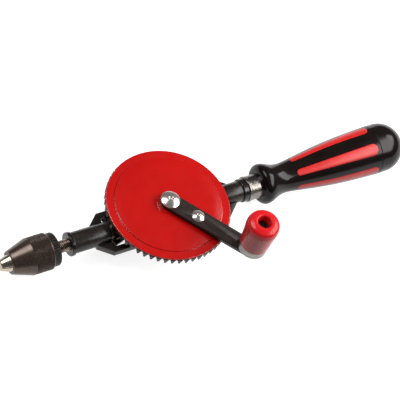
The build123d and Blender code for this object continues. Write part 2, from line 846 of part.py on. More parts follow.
stations = (
    (mouth_place, mouth_radius),
    (brow_place, brow_radius),
    (bead_place, bead_radius),
    (fall_place, fall_radius),
    (waist_place, waist_radius),
    (neck_place, neck_radius),
    (swell_place, swell_radius),
    (flare_place, flare_radius),
    (grip_length, seam_radius),
)


def grip_face(extra, inner):
    """Half section of the grip's outside, moved out by extra, down to the inner radius."""
    with BuildSketch(Plane.XY) as shape:
        with BuildLine():
            points = [(grip_x + x, radius + extra) for x, radius in stations]
            Spline(*points)
            Polyline(points[-1], (seam_x, inner), (grip_x, inner), points[0])
        make_face()
    return shape.sketch


def strip_blanks():
    """Six rounded bars that stand on the grip, where the inlay strips go."""
    blanks = []
    for number in range(inlay_count):
        turn = radians(inlay_turn + number * 360 / inlay_count)
        outward = Vector(0, sin(turn), cos(turn))
        place = Plane(origin=(grip_x, 0, 0), x_dir=(1, 0, 0), z_dir=outward)
        with BuildPart() as blank:
            with BuildSketch(place):
                with BuildLine():
                    front, rear = inlay_front_width / 2, inlay_rear_width / 2
                    front_x, rear_x = inlay_start + front, inlay_end - rear
                    Line((front_x, front), (rear_x, rear))
                    ThreePointArc((rear_x, rear), (inlay_end, 0), (rear_x, -rear))
                    Line((rear_x, -rear), (front_x, -front))
                    ThreePointArc((front_x, -front), (inlay_start, 0), (front_x, front))
                make_face()
            extrude(amount=2 * seam_radius)
        blanks.append(blank.part)
    return blanks


blanks = strip_blanks()
with BuildPart() as inlays:
    revolve(grip_face(inlay_proud, 0), axis=Axis.X)
    revolve(grip_face(-inlay_depth, 0), axis=Axis.X, mode=Mode.SUBTRACT)
    add(blanks, mode=Mode.INTERSECT)
keep(inlays.part, "grip_inlays")

store_x = seam_x - store_depth
with BuildPart() as grip:
    revolve(grip_face(0, 0), axis=Axis.X)
    revolve(tube(lock_ring_end, grip_x + 1, 0, core_radius), axis=Axis.X)
    revolve(tube(lock_ring_end, tang_end, 0, tang_radius), axis=Axis.X, mode=Mode.SUBTRACT)
    revolve(tube(store_x, seam_x, 0, store_radius), axis=Axis.X, mode=Mode.SUBTRACT)
    add(inlays.part, mode=Mode.SUBTRACT)
keep(grip.part, "grip")

seal_outer = store_radius + side_gap + seal_height
spigot_radius = store_radius - screw_fit
with BuildPart() as end_cap:
    with BuildSketch(Plane.XY):
        with BuildLine():
            dome_start = (cap_end - seam_radius, seam_radius)
            Line((cap_end - cap_wall, 0), (cap_end, 0))
            TangentArc((cap_end, 0), dome_start, tangent=(0, 1))
            Polyline(
                dome_start,
                (seam_x + face_gap, seam_radius),
                (seam_x + face_gap, spigot_radius),
                (seam_x - spigot_length, spigot_radius),
                (seam_x - spigot_length, spigot_radius - spigot_wall),
                (seam_x + cap_length * 0.5, spigot_radius - spigot_wall),
                (cap_end - cap_wall, 0),
            )
        make_face()
    revolve(axis=Axis.X)
    seal_groove = tube(
        seam_x + face_gap, seam_x + face_gap + seal_thickness, spigot_radius, seal_outer
    )
    revolve(seal_groove, axis=Axis.X, mode=Mode.SUBTRACT)
keep(end_cap.part, "end_cap")

with BuildPart() as cap_seal:
    revolve(
        tube(
            seam_x + face_gap / 2,
            seam_x + face_gap + seal_thickness,
            spigot_radius,
            seal_outer,
        ),
        axis=Axis.X,
    )
keep(cap_seal.part, "cap_seal")

print(f"jaw slide: {jaw_travel / cos(atan(cone_slope)):.3f} mm at {degrees(atan(cone_slope)):.3f} degrees")
print(f"wheel axle at x = {wheel_x:.2f} mm, end of the cap at x = {cap_end:.2f} mm")
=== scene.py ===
import bpy
import bmesh
from math import cos, pi, radians, sin, sqrt, tan
from mathutils import Matrix, Vector


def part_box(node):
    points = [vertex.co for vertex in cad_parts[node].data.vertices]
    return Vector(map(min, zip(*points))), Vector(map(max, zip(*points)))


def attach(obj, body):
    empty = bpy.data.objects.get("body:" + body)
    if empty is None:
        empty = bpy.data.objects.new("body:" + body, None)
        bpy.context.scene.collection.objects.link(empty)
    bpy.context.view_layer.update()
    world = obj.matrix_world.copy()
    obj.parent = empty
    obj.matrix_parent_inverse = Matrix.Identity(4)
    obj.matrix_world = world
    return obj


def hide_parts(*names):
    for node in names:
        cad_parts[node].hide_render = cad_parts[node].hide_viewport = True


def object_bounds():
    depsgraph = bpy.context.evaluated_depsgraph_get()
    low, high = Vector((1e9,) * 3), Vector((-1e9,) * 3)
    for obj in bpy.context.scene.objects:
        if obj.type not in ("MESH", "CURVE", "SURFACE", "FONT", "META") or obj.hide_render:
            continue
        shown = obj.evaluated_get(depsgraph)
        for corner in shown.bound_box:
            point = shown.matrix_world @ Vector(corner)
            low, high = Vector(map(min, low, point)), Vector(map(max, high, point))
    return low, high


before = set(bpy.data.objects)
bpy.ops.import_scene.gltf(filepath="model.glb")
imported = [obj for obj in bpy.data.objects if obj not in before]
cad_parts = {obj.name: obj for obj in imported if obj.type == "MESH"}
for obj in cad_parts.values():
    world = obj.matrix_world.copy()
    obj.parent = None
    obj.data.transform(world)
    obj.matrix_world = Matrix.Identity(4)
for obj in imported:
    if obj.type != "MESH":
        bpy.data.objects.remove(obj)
cad_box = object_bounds()

# ---- studio ----
# The drill lies on a pale seamless table. A long lens looks down over the chuck end, turned a
# little about its own axis, so that the tool climbs from lower left to upper right.
mm = 0.001
scene = bpy.context.scene
scene.view_settings.view_transform = "Standard"
wheel_low, wheel_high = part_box("drive_wheel")
hub_x = (wheel_low.x + wheel_high.x) / 2
view_azimuth, view_height, view_roll = radians(-48.07), radians(54.25), radians(24.77)
view_distance, aim_right, aim_up = 1.4606, 23.9 * mm, 9.65 * mm
flat_right = Vector((cos(view_azimuth), sin(view_azimuth), 0))
back = Vector(
    (sin(view_azimuth) * cos(view_height), -cos(view_azimuth) * cos(view_height), sin(view_height))
)
flat_up = back.cross(flat_right)
right = flat_right * cos(view_roll) + flat_up * sin(view_roll)
up = back.cross(right)
aim = Vector((hub_x, 0, 0)) + right * aim_right + up * aim_up
view_turn = Matrix((right, up, back)).transposed().to_4x4()
camera = bpy.data.objects.new("camera", bpy.data.cameras.new("camera"))
scene.collection.objects.link(camera)
camera.data.lens = 198
camera.data.clip_start = 0.05
camera.matrix_world = Matrix.Translation(aim + back * view_distance) @ view_turn
scene.camera = camera

table_top = cad_box[0].z
table_mesh = bpy.data.meshes.new("table")
reach = 4.0
corners = [(-reach, -reach), (reach, -reach), (reach, reach), (-reach, reach)]
table_mesh.from_pydata([(x, y, table_top) for x, y in corners], [], [(0, 1, 2, 3)])
table = bpy.data.objects.new("table", table_mesh)
scene.collection.objects.link(table)
paper = bpy.data.materials.new("white_paper")
paper.use_nodes = True
paper_nodes = paper.node_tree.nodes
paper_shader = paper_nodes["Principled BSDF"]
paper_shader.inputs["Roughness"].default_value = 0.9
paper_shader.inputs["Specular IOR Level"].default_value = 0.0
paper_shader.inputs["Emission Color"].default_value = (1, 1, 1, 1)
paper_shader.inputs["Emission Strength"].default_value = 0.85
fibre = paper_nodes.new("ShaderNodeTexNoise")
fibre.inputs["Scale"].default_value = 180
tone = paper_nodes.new("ShaderNodeValToRGB")
tone.color_ramp.elements[0].color = (0.48, 0.48, 0.48, 1)
tone.color_ramp.elements[1].color = (0.52, 0.52, 0.52, 1)
paper.node_tree.links.new(fibre.outputs["Fac"], tone.inputs["Fac"])
paper.node_tree.links.new(tone.outputs["Color"], paper_shader.inputs["Base Color"])
table_mesh.materials.append(paper)
table.visible_diffuse = False

world = bpy.data.worlds.new("studio")
world.use_nodes = True
world.node_tree.nodes["Background"].inputs["Color"].default_value = (1, 1, 1, 1)
world.node_tree.nodes["Background"].inputs["Strength"].default_value = 0.1
scene.world = world


def softbox(name, azimuth, height, distance, width, length, power):
    """A soft light that faces the wheel from this azimuth and height, in degrees."""
    lamp = bpy.data.lights.new(name, "AREA")
    lamp.shape = "RECTANGLE"
    lamp.size, lamp.size_y, lamp.energy = width, length, power
    a, e = radians(azimuth), radians(height)
    out = Vector((sin(a) * cos(e), -cos(a) * cos(e), sin(e)))
    holder = bpy.data.objects.new(name, lamp)
    holder.location = Vector((hub_x, 0, 0)) + out * distance
    holder.rotation_euler = (-out).to_track_quat("-Z", "Y").to_euler()
    scene.collection.objects.link(holder)


softbox("right_softbox", 70, 42, 1.2, 1.3, 0.6, 19)
softbox("left_softbox", -142, 58, 1.2, 0.6, 0.6, 9)

# ---- chuck sleeve ----
# A steel shell turned in one piece: a smooth cone at the nose, then a straight band with a
# rolled diamond knurl to turn it by. The steel is oiled black oxide with a brown cast.
sleeve_low, sleeve_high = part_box("chuck_sleeve")
nose_x, sleeve_end, sleeve_radius = sleeve_low.x, sleeve_high.x, sleeve_high.z
nose_radius, nose_bore, sleeve_bore = 7.8 * mm, 6.2 * mm, 10.25 * mm
cone_end = nose_x + 14.0 * mm
knurl_start, knurl_end = cone_end + 0.5 * mm, sleeve_end - 0.9 * mm
knurl_depth = 0.28 * mm
diamonds_along, diamonds_around = 9, 50
bore_start = nose_x + 12.0 * mm
skin = 0.2 * mm  # a tree presses in only what lies this near to the outside
hair = 0.01 * mm


def rounded(outline):
    """Rounds the corners of an outline of (along, radius, corner, rows) and adds holding loops."""
    spots = [(tuple(point) + (0, 1))[:4] if len(point) < 4 else tuple(point) for point in outline]
    count = len(spots)
    profile = []
    for number, (along, radius, corner, rows) in enumerate(spots):
        here = Vector((along, radius))
        before = Vector(spots[number - 1][:2]) - here
        after = Vector(spots[(number + 1) % count][:2]) - here
        size = min(corner, before.length * 0.45, after.length * 0.45)
        if size > 0:
            start, end = here + before.normalized() * size, here + after.normalized() * size
            steps = 5
            for step in range(steps + 1):
                t = step / steps
                profile.append(start * (1 - t) ** 2 + here * 2 * t * (1 - t) + end * t**2)
        else:
            profile.append(here)
        for row in range(1, rows):
            profile.append(here + after * row / rows)
    held = []
    for number, here in enumerate(profile):
        after = profile[(number + 1) % len(profile)] - here
        held.append(here)
        if after.length > 0.6 * mm:
            held.append(here + after.normalized() * 0.12 * mm)
            held.append(here + after - after.normalized() * 0.12 * mm)
    return held


def lathe(name, outline, sides=128, centre=None):
    """Turns a closed outline about the spindle, or about the upright line through centre."""
    profile = rounded(outline)
    points, rows, row_of, column_of = [], [], [], []
    for number, (along, radius) in enumerate(profile):
        ring = []
        for side in range(sides if radius > 1e-7 else 1):
            turn = 2 * pi * side / sides
            if centre is None:
                spot = (along, radius * sin(turn), radius * cos(turn))
            else:
                spot = (centre.x + radius * cos(turn), centre.y + radius * sin(turn), along)
            ring.append(len(points))
            points.append(spot)
            row_of.append(number)
            column_of.append(side)
        rows.append(ring)
    faces = []
    for number, ring in enumerate(rows):
        following = rows[(number + 1) % len(rows)]
        if len(ring) == 1 and len(following) == 1:
            continue
        for side in range(sides):
            beside = (side + 1) % sides
            corner = [ring[side % len(ring)], ring[beside % len(ring)]]
            corner += [following[beside % len(following)], following[side % len(following)]]
            faces.append(list(dict.fromkeys(corner)))
    mesh = bpy.data.meshes.new(name)
    mesh.from_pydata(points, [], faces)
    for label, values in (("row", row_of), ("column", column_of)):
        mesh.attributes.new(label, "INT", "POINT").data.foreach_set("value", values)
    return settle(name, mesh)


def settle(name, mesh):
    """Points a closed mesh's faces outwards, smooths it up to its sharp edges and shows it."""
    shape = bmesh.new()
    shape.from_mesh(mesh)
    bmesh.ops.remove_doubles(shape, verts=shape.verts, dist=1e-7)
    bmesh.ops.recalc_face_normals(shape, faces=shape.faces)
    shape.to_mesh(mesh)
    shape.free()
    mesh.shade_smooth()
    mesh.set_sharp_from_angle(angle=radians(32))
    piece = bpy.data.objects.new(name, mesh)
    scene.collection.objects.link(piece)
    return piece


def applied(piece):
    """Turns a piece's modifiers into plain mesh, and takes them off."""
    seen = piece.evaluated_get(bpy.context.evaluated_depsgraph_get())
    mesh = bpy.data.meshes.new_from_object(seen)
    piece.modifiers.clear()
    piece.data = mesh
    mesh.name = piece.name
    return piece


def tree(name, numbers):
    """An empty Geometry Nodes tree with a mesh in, these named inputs, a material and a mesh out."""
    group = bpy.data.node_groups.new(name, "GeometryNodeTree")
    group.interface.new_socket("Geometry", in_out="INPUT", socket_type="NodeSocketGeometry")
    for label, kind in numbers.items():
        group.interface.new_socket(label, in_out="INPUT", socket_type="NodeSocket" + kind)
    group.interface.new_socket("Material", in_out="INPUT", socket_type="NodeSocketMaterial")
    group.interface.new_socket("Geometry", in_out="OUTPUT", socket_type="NodeSocketGeometry")
    return group, group.nodes.new("NodeGroupInput"), group.nodes.new("NodeGroupOutput")


def calc(group, operation, *values, kind="Math"):
    """A math node in a tree, fed with sockets or plain numbers; returns its answer."""
    node = group.nodes.new("ShaderNode" + kind)
    node.operation = operation
    for socket, value in zip(node.inputs, values):
        if isinstance(value, bpy.types.NodeSocket):
            group.links.new(value, socket)
        else:
            socket.default_value = value
    return node.outputs["Vector" if kind == "VectorMath" else "Value"]


def attribute(group, name):
    """A whole number stored on the mesh's points."""
    node = group.nodes.new("GeometryNodeInputNamedAttribute")
    node.data_type = "INT"
    node.inputs["Name"].default_value = name
    return node.outputs["Attribute"]


def within(group, inputs):
    """Chooses the points between Start and End along the spindle and outside Above."""
    spot = group.nodes.new("GeometryNodeInputPosition").outputs["Position"]
    parts = group.nodes.new("ShaderNodeSeparateXYZ")
    group.links.new(spot, parts.inputs[0])
    flat = calc(group, "MULTIPLY", spot, (0, 1, 1), kind="VectorMath")
    length = group.nodes.new("ShaderNodeVectorMath")
    length.operation = "LENGTH"
    group.links.new(flat, length.inputs[0])
    after = calc(group, "GREATER_THAN", parts.outputs["X"], inputs.outputs["Start"])
    before = calc(group, "LESS_THAN", parts.outputs["X"], inputs.outputs["End"])
    outside = calc(group, "GREATER_THAN", length.outputs["Value"], inputs.outputs["Above"])
    outward = calc(group, "NORMALIZE", flat, kind="VectorMath")
    return calc(group, "MULTIPLY", calc(group, "MULTIPLY", after, before), outside), outward


def press_in(group, inputs, output, depth, chosen, outward):
    """Moves the chosen points inwards by depth, then gives the mesh its material."""
    move = group.nodes.new("GeometryNodeSetPosition")
    group.links.new(inputs.outputs["Geometry"], move.inputs["Geometry"])
    shift = group.nodes.new("ShaderNodeVectorMath")
    shift.operation = "SCALE"
    group.links.new(outward, shift.inputs[0])
    inward = calc(group, "MULTIPLY", calc(group, "MULTIPLY", depth, chosen), -1)
    group.links.new(inward, shift.inputs["Scale"])
    group.links.new(shift.outputs["Vector"], move.inputs["Offset"])
    facets = group.nodes.new("GeometryNodeTriangulate")
    facets.quad_method = "SHORTEST_DIAGONAL"
    group.links.new(move.outputs["Geometry"], facets.inputs["Mesh"])
    real = group.nodes.new("GeometryNodeRealizeInstances")
    group.links.new(facets.outputs["Mesh"], real.inputs["Geometry"])
    paint = group.nodes.new("GeometryNodeSetMaterial")
    group.links.new(real.outputs["Geometry"], paint.inputs["Geometry"])
    group.links.new(inputs.outputs["Material"], paint.inputs["Material"])
    group.links.new(paint.outputs["Geometry"], output.inputs["Geometry"])


def cut(piece, group, sharp=32, **values):
    """Runs a tree on a piece with these inputs, and leaves plain mesh, sharp past this angle."""
    modifier = piece.modifiers.new("cut", "NODES")
    modifier.node_group = group
    for item in group.interface.items_tree:
        label = item.name.replace(" ", "_")
        if item.in_out == "INPUT" and label in values:
            modifier[item.identifier] = values[label]
    applied(piece)
    piece.data.set_sharp_from_angle(angle=radians(sharp))
    return piece


def finish(name, dark, light, metal, rough, bump, scale, stretch=(1, 1, 1), **sockets):
    """A surface whose colour, gloss and height all vary a little, on the piece's own coordinates."""
    material = bpy.data.materials.new(name)
    material.use_nodes = True
    nodes, links = material.node_tree.nodes, material.node_tree.links
    shader = nodes["Principled BSDF"]
    shader.inputs["Metallic"].default_value = metal
    for socket, value in sockets.items():
        shader.inputs[socket.replace("_", " ")].default_value = value
    place = nodes.new("ShaderNodeTexCoord")
    mapping = nodes.new("ShaderNodeMapping")
    mapping.inputs["Scale"].default_value = stretch
    links.new(place.outputs["Object"], mapping.inputs["Vector"])

    def noise(size, detail):
        node = nodes.new("ShaderNodeTexNoise")
        node.inputs["Scale"].default_value = size
        node.inputs["Detail"].default_value = detail
        links.new(mapping.outputs["Vector"], node.inputs["Vector"])
        return node.outputs["Fac"]

    ramp = nodes.new("ShaderNodeValToRGB")
    ramp.name = "colour"
    ramp.color_ramp.elements[0].position = 0.3
    ramp.color_ramp.elements[1].position = 0.7
    ramp.color_ramp.elements[0].color = (*dark, 1)
    ramp.color_ramp.elements[1].color = (*light, 1)
    links.new(noise(scale / 6, 3), ramp.inputs["Fac"])
    links.new(ramp.outputs["Color"], shader.inputs["Base Color"])
    gloss = nodes.new("ShaderNodeMapRange")
    gloss.name = "gloss"
    gloss.inputs["From Min"].default_value = 0.3
    gloss.inputs["From Max"].default_value = 0.7
    gloss.inputs["To Min"].default_value = rough[0]
    gloss.inputs["To Max"].default_value = rough[1]
    links.new(noise(scale / 2, 5), gloss.inputs["Value"])
    links.new(gloss.outputs["Result"], shader.inputs["Roughness"])
    height = nodes.new("ShaderNodeBump")
    height.name = "height"
    height.inputs["Strength"].default_value = bump[0]
    height.inputs["Distance"].default_value = bump[1]
    links.new(noise(scale, 6), height.inputs["Height"])
    links.new(height.outputs["Normal"], shader.inputs["Normal"])
    return material


knurling, knurl_in, knurl_out = tree(
    "diamond_knurl", {"Depth": "Float", "Start": "Float", "End": "Float", "Above": "Float"}
)
knurl_chosen, knurl_outward = within(knurling, knurl_in)
knurl_sum = calc(knurling, "ADD", attribute(knurling, "row"), attribute(knurling, "column"))
knurl_valley = calc(knurling, "MODULO", knurl_sum, 2.0)
knurl_cut = calc(knurling, "MULTIPLY", knurl_valley, knurl_in.outputs["Depth"])
press_in(knurling, knurl_in, knurl_out, knurl_cut, knurl_chosen, knurl_outward)

brown_oxide = finish(
    "brown_oxide", (0.066, 0.045, 0.035), (0.090, 0.063, 0.050), 0.6, (0.22, 0.32), (0.04, 0.00003), 2600
)
sleeve = lathe(
    "chuck_sleeve_shell",
    [
        (nose_x, nose_bore, 0.2 * mm),
        (nose_x, nose_radius, 0.5 * mm),
        (cone_end, sleeve_radius, 0.5 * mm),
        (knurl_start, sleeve_radius, 0, 2 * diamonds_along),
        (knurl_end, sleeve_radius),
        (sleeve_end, sleeve_radius - 0.35 * mm, 0.3 * mm),
        (sleeve_end, sleeve_bore, 0.1 * mm),
        (bore_start, sleeve_bore),
    ],
    sides=2 * diamonds_around,
)
sleeve = cut(
    sleeve,
    knurling,
    sharp=10,
    Depth=knurl_depth,
    Start=knurl_start - hair,
    End=knurl_end + hair,
    Above=sleeve_radius - skin,
    Material=brown_oxide,
)
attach(sleeve, "sleeve")
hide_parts("chuck_sleeve")

# ---- jaws ----
# Three hardened steel jaws, ground all over and left bright. Each is a third of a cone, with
# its sharp corners broken, and slides in the sleeve's nose.
jaw_steel = finish(
    "jaw_steel", (0.34, 0.29, 0.23), (0.56, 0.50, 0.41), 1.0, (0.16, 0.34), (0.2, 0.00003), 1800, (1, 6, 6)
)


def soften(node, name, width, segments=2):
    """A copy of a CAD node with its edges broken by a small bevel."""
    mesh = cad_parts[node].data.copy()
    mesh.materials.clear()
    shape = bmesh.new()
    shape.from_mesh(mesh)
    bmesh.ops.remove_doubles(shape, verts=shape.verts, dist=1e-6)
    bmesh.ops.dissolve_limit(
        shape, angle_limit=radians(0.8), verts=shape.verts, edges=shape.edges
    )
    shape.to_mesh(mesh)
    shape.free()
    piece = bpy.data.objects.new(name, mesh)
    scene.collection.objects.link(piece)
    bevel = piece.modifiers.new("edges", "BEVEL")
    bevel.width, bevel.segments = width, segments
    bevel.limit_method, bevel.angle_limit = "ANGLE", radians(28)
    applied(piece)
    piece.data.shade_smooth()
    piece.data.set_sharp_from_angle(angle=radians(34))
    return piece


for number in (1, 2, 3):
    blade = soften(f"jaw_{number}", f"jaw_blade_{number}", 0.12 * mm)
    blade.data.materials.append(jaw_steel)
    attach(blade, f"jaw_{number}")
    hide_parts(f"jaw_{number}")

# ---- chuck body ----
# The steel core that screws on the spindle. Its rear ring stands out behind the sleeve and has
# fine notches all round, to hold it by while the sleeve is turned.
body_low, body_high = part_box("chuck_body")
ring_x, ring_radius, ring_bore = sleeve_end + 0.2 * mm, 11.3 * mm, 4.2 * mm
body_bore, body_radius = 2.8 * mm, 10.2 * mm
thread_socket_end = body_high.x - 6.8 * mm
rim_flat = 0.6 * mm
ring_notches, sides_per_notch = 36, 8

grooving, groove_in, groove_out = tree(
    "grooves",
    {
        "Around": "Float",
        "Along": "Float",
        "Sides": "Float",
        "Width": "Float",
        "Depth": "Float",
        "Start": "Float",
        "End": "Float",
        "Above": "Float",
    },
)
groove_chosen, groove_outward = within(grooving, groove_in)
groove_turn = calc(grooving, "DIVIDE", attribute(grooving, "column"), groove_in.outputs["Sides"])
groove_turn = calc(grooving, "MULTIPLY", groove_turn, groove_in.outputs["Around"])
groove_step = calc(grooving, "MULTIPLY", attribute(grooving, "row"), groove_in.outputs["Along"])
groove_phase = calc(grooving, "FRACT", calc(grooving, "ADD", groove_turn, groove_step))
groove_edge = calc(grooving, "SUBTRACT", calc(grooving, "MULTIPLY", groove_phase, 2.0), 1.0)
groove_edge = calc(grooving, "ABSOLUTE", groove_edge)
groove_wall = calc(grooving, "SUBTRACT", groove_in.outputs["Width"], groove_edge)
groove_wall = calc(grooving, "DIVIDE", groove_wall, groove_in.outputs["Width"])
groove_wall = calc(grooving, "MAXIMUM", groove_wall, 0.0)
groove_cut = calc(grooving, "MULTIPLY", groove_wall, groove_in.outputs["Depth"])
press_in(grooving, groove_in, groove_out, groove_cut, groove_chosen, groove_outward)

black_oxide = finish(
    "black_oxide", (0.012, 0.011, 0.010), (0.034, 0.029, 0.026), 0.7, (0.26, 0.42), (0.12, 0.00004), 2400
)
chuck_core = lathe(
    "chuck_core",
    [
        (body_low.x, body_bore),
        (body_low.x, body_radius, 0.3 * mm),
        (ring_x, body_radius),
        (ring_x, ring_radius, 0.3 * mm),
        (ring_x + rim_flat, ring_radius, 0, 4),
        (body_high.x - rim_flat, ring_radius),
        (body_high.x, ring_radius - 0.4 * mm, 0.4 * mm),
        (body_high.x, ring_bore, 0.3 * mm),
        (thread_socket_end, ring_bore),
        (thread_socket_end, body_bore),
    ],
    sides=sides_per_notch * ring_notches,
)
chuck_core = cut(
    chuck_core,
    grooving,
    Around=float(ring_notches),
    Along=0.0,
    Sides=float(sides_per_notch * ring_notches),
    Width=0.55,
    Depth=0.35 * mm,
    Start=ring_x + 0.5 * mm,
    End=body_high.x - 0.5 * mm,
    Above=ring_radius - skin,
    Material=black_oxide,
)
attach(chuck_core, "spindle")
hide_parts("chuck_body")

# ---- spindle ----
# One turned steel bar. The chuck screws on its front end, where the thread stays in view; the
# rest runs through the barrel to the pinion and the middle of the frame.
spindle_low, spindle_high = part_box("spindle")
thread_start, thread_end = body_high.x + 0.3 * mm, body_high.x + 8.9 * mm
thread_radius, thread_pitch, thread_rows = 4.2 * mm, 1.25 * mm, 8
pinion_low, pinion_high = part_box("drive_pinion")
thread_turns = (thread_end - thread_start) / thread_pitch
seat_radius, journal_radius = 3.5 * mm, 3.0 * mm
seat_end = pinion_high.x + 0.5 * mm
spindle_sides = 64

dark_steel = finish(
    "dark_steel", (0.16, 0.12, 0.10), (0.36, 0.28, 0.23), 1.0, (0.2, 0.38), (0.15, 0.00004), 1600, (5, 1, 1)
)
rows_in_thread = int(thread_turns * thread_rows)
spindle = lathe(
    "spindle_bar",
    [
        (spindle_low.x, 0),
        (spindle_low.x, thread_radius, 0.4 * mm),
        (thread_start, thread_radius, 0, rows_in_thread),
        (thread_end, thread_radius),
        (pinion_low.x, thread_radius),
        (pinion_low.x, seat_radius),
        (seat_end, seat_radius, 0.2 * mm),
        (seat_end, journal_radius),
        (spindle_high.x, journal_radius, 0.4 * mm),
        (spindle_high.x, 0),
    ],
    sides=spindle_sides,
)
spindle = cut(
    spindle,
    grooving,
    Around=1.0,
    Along=1.0 / thread_rows,
    Sides=float(spindle_sides),
    Width=0.85,
    Depth=0.55 * mm,
    Start=thread_start - hair,
    End=thread_end + hair,
    Above=thread_radius - skin,
    Material=dark_steel,
)
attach(spindle, "spindle")
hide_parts("spindle")

# ---- spindle collar ----
# A black steel collar pinned on the spindle. It bears on the end of the frame's barrel and
# takes the push of the drill, so its edges are polished bright by handling.
collar_low, collar_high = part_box("spindle_collar")
collar = lathe(
    "collar_ring",
    [
        (collar_low.x, thread_radius),
        (collar_low.x, collar_high.z, 0.7 * mm),
        (collar_high.x, collar_high.z, 0.35 * mm),
        (collar_high.x, thread_radius),
    ],
)
collar_black = finish(
    "collar_black", (0.008, 0.007, 0.0065), (0.020, 0.0175, 0.016), 0.2, (0.12, 0.24), (0.1, 0.00004), 1500
)
collar.data.materials.append(collar_black)
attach(collar, "spindle")
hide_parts("spindle_collar")

# ---- frame casting ----
# One malleable iron casting: barrels front and rear, sloping shoulders and two flat rails, with
# windows for the pinions. It is dipped in black paint that rounds its edges.
frame_paint = finish(
    "frame_paint",
    (0.0115, 0.0075, 0.0060),
    (0.0220, 0.0155, 0.0130),
    0.0,
    (0.22, 0.36),
    (0.25, 0.00012),
    700,
    Specular_IOR_Level=0.35,
)
casting = soften("frame_casting", "frame_body", 0.35 * mm, 3)
casting.data.materials.append(frame_paint)
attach(casting, "frame")
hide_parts("frame_casting")

# ---- pinions and inner fittings ----
# Cut steel pinions, dark with grease; bronze bushes and washers; bright turned pins and shafts.
gear_steel = finish(
    "gear_steel", (0.030, 0.026, 0.023), (0.085, 0.075, 0.066), 1.0, (0.2, 0.42), (0.3, 0.00006), 1200
)
bronze = finish(
    "bronze", (0.42, 0.24, 0.10), (0.62, 0.40, 0.19), 1.0, (0.22, 0.42), (0.15, 0.00004), 1600, (1, 4, 4)
)
bright_steel = finish(
    "bright_steel",
    (0.42, 0.41, 0.40),
    (0.62, 0.61, 0.60),
    1.0,
    (0.18, 0.34),
    (0.15, 0.00003),
    1600,
    (5, 1, 1),
)
fitting_finishes = {
    gear_steel: ("drive_pinion", "idler_pinion"),
    bronze: ("front_bush", "spindle_rear_bush", "wheel_bush", "wheel_thrust_ring"),
    bright_steel: ("idler_shaft", "handle_tang"),
    dark_steel: ("pinion_pin", "collar_pin", "pinion_thrust_washer", "chuck_snap_ring", "jaw_pusher"),
}
for metal, names in fitting_finishes.items():
    for name in names:
        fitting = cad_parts[name]
        fitting.data.materials.clear()
        fitting.data.materials.append(metal)

# ---- drive wheel ----
# A cast iron wheel in gloss red enamel. A flat band runs round the rim; inside it the face rises
# by a small step and a soft shoulder to a flat web, with a low boss in its middle.
wheel_centre = Vector((hub_x, 0, 0))
rim_radius, rim_face, boss_top = 42.3 * mm, 13.2 * mm, wheel_high.z
band_width, band_step, crown_width, crown_drop = 5.6 * mm, 0.6 * mm, 5.5 * mm, 0.6 * mm
web_top = rim_face + band_step + crown_drop
web_thickness, tooth_ledge = 2.4 * mm, 0.5 * mm
web_bottom = web_top - web_thickness
boss_radius, hub_bore, hub_bottom = 8.1 * mm, 5.25 * mm, wheel_low.z
gear_module, wheel_teeth = 1.5 * mm, 56
wheel_pitch, pinion_pitch, face_width = 42.0 * mm, 9.0 * mm, 8.0 * mm
wheel_root = 11.3 * mm
root_slope = wheel_root / wheel_pitch
tooth_inner = wheel_pitch - face_width - tooth_ledge

enamel = finish(
    "red_enamel",
    (0.455, 0.0015, 0.0005),
    (0.510, 0.0025, 0.0010),
    0.0,
    (0.22, 0.27),
    (0.05, 0.00010),
    260,
    Coat_Weight=0.3,
    Coat_Roughness=0.1,
)
wheel = lathe(
    "wheel_casting",
    [
        (hub_bottom, hub_bore),
        (hub_bottom, boss_radius, 0.4 * mm),
        (web_bottom, boss_radius, 0.8 * mm),
        (web_bottom, tooth_inner, 0.8 * mm),
        (tooth_inner * root_slope + 0.02 * mm, tooth_inner, 0.1 * mm),
        (rim_radius * root_slope, rim_radius, 0.25 * mm),
        (rim_face, rim_radius, 0.6 * mm),
        (rim_face, rim_radius - band_width, 0.25 * mm),
        (rim_face + band_step, rim_radius - band_width - 0.1 * mm, 0.5 * mm),
        (web_top, rim_radius - band_width - crown_width, 6.0 * mm),
        (web_top, boss_radius, 0.5 * mm),
        (boss_top, boss_radius, 0.5 * mm),
        (boss_top, hub_bore),
    ],
    sides=224,
    centre=wheel_centre,
)
wheel.data.materials.append(enamel)
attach(wheel, "wheel")
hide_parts("drive_wheel")

# ---- wheel teeth ----
# The bevel teeth are cut in the back of the rim after painting, so they are bare iron, dark
# with oil. Every tooth points at the meeting of the wheel's axle and the spindle.
copying, copy_in, copy_out = tree("ring_of_copies", {"Count": "Int", "Axis": "Vector", "Centre": "Vector"})
spots = copying.nodes.new("GeometryNodePoints")
copying.links.new(copy_in.outputs["Count"], spots.inputs["Count"])
copies = copying.nodes.new("GeometryNodeInstanceOnPoints")
copying.links.new(spots.outputs[0], copies.inputs["Points"])
copying.links.new(copy_in.outputs["Geometry"], copies.inputs["Instance"])
turning = copying.nodes.new("GeometryNodeRotateInstances")
turning.inputs["Local Space"].default_value = False
copying.links.new(copies.outputs["Instances"], turning.inputs["Instances"])
which = copying.nodes.new("GeometryNodeInputIndex")
share = calc(copying, "DIVIDE", which.outputs["Index"], copy_in.outputs["Count"])
share = calc(copying, "MULTIPLY", share, 2 * pi)
about = copying.nodes.new("FunctionNodeAxisAngleToRotation")
copying.links.new(copy_in.outputs["Axis"], about.inputs["Axis"])
copying.links.new(share, about.inputs["Angle"])
copying.links.new(about.outputs["Rotation"], turning.inputs["Rotation"])
copying.links.new(copy_in.outputs["Centre"], turning.inputs["Pivot Point"])
all_real = copying.nodes.new("GeometryNodeRealizeInstances")
copying.links.new(turning.outputs["Instances"], all_real.inputs["Geometry"])
coated = copying.nodes.new("GeometryNodeSetMaterial")
copying.links.new(all_real.outputs["Geometry"], coated.inputs["Geometry"])
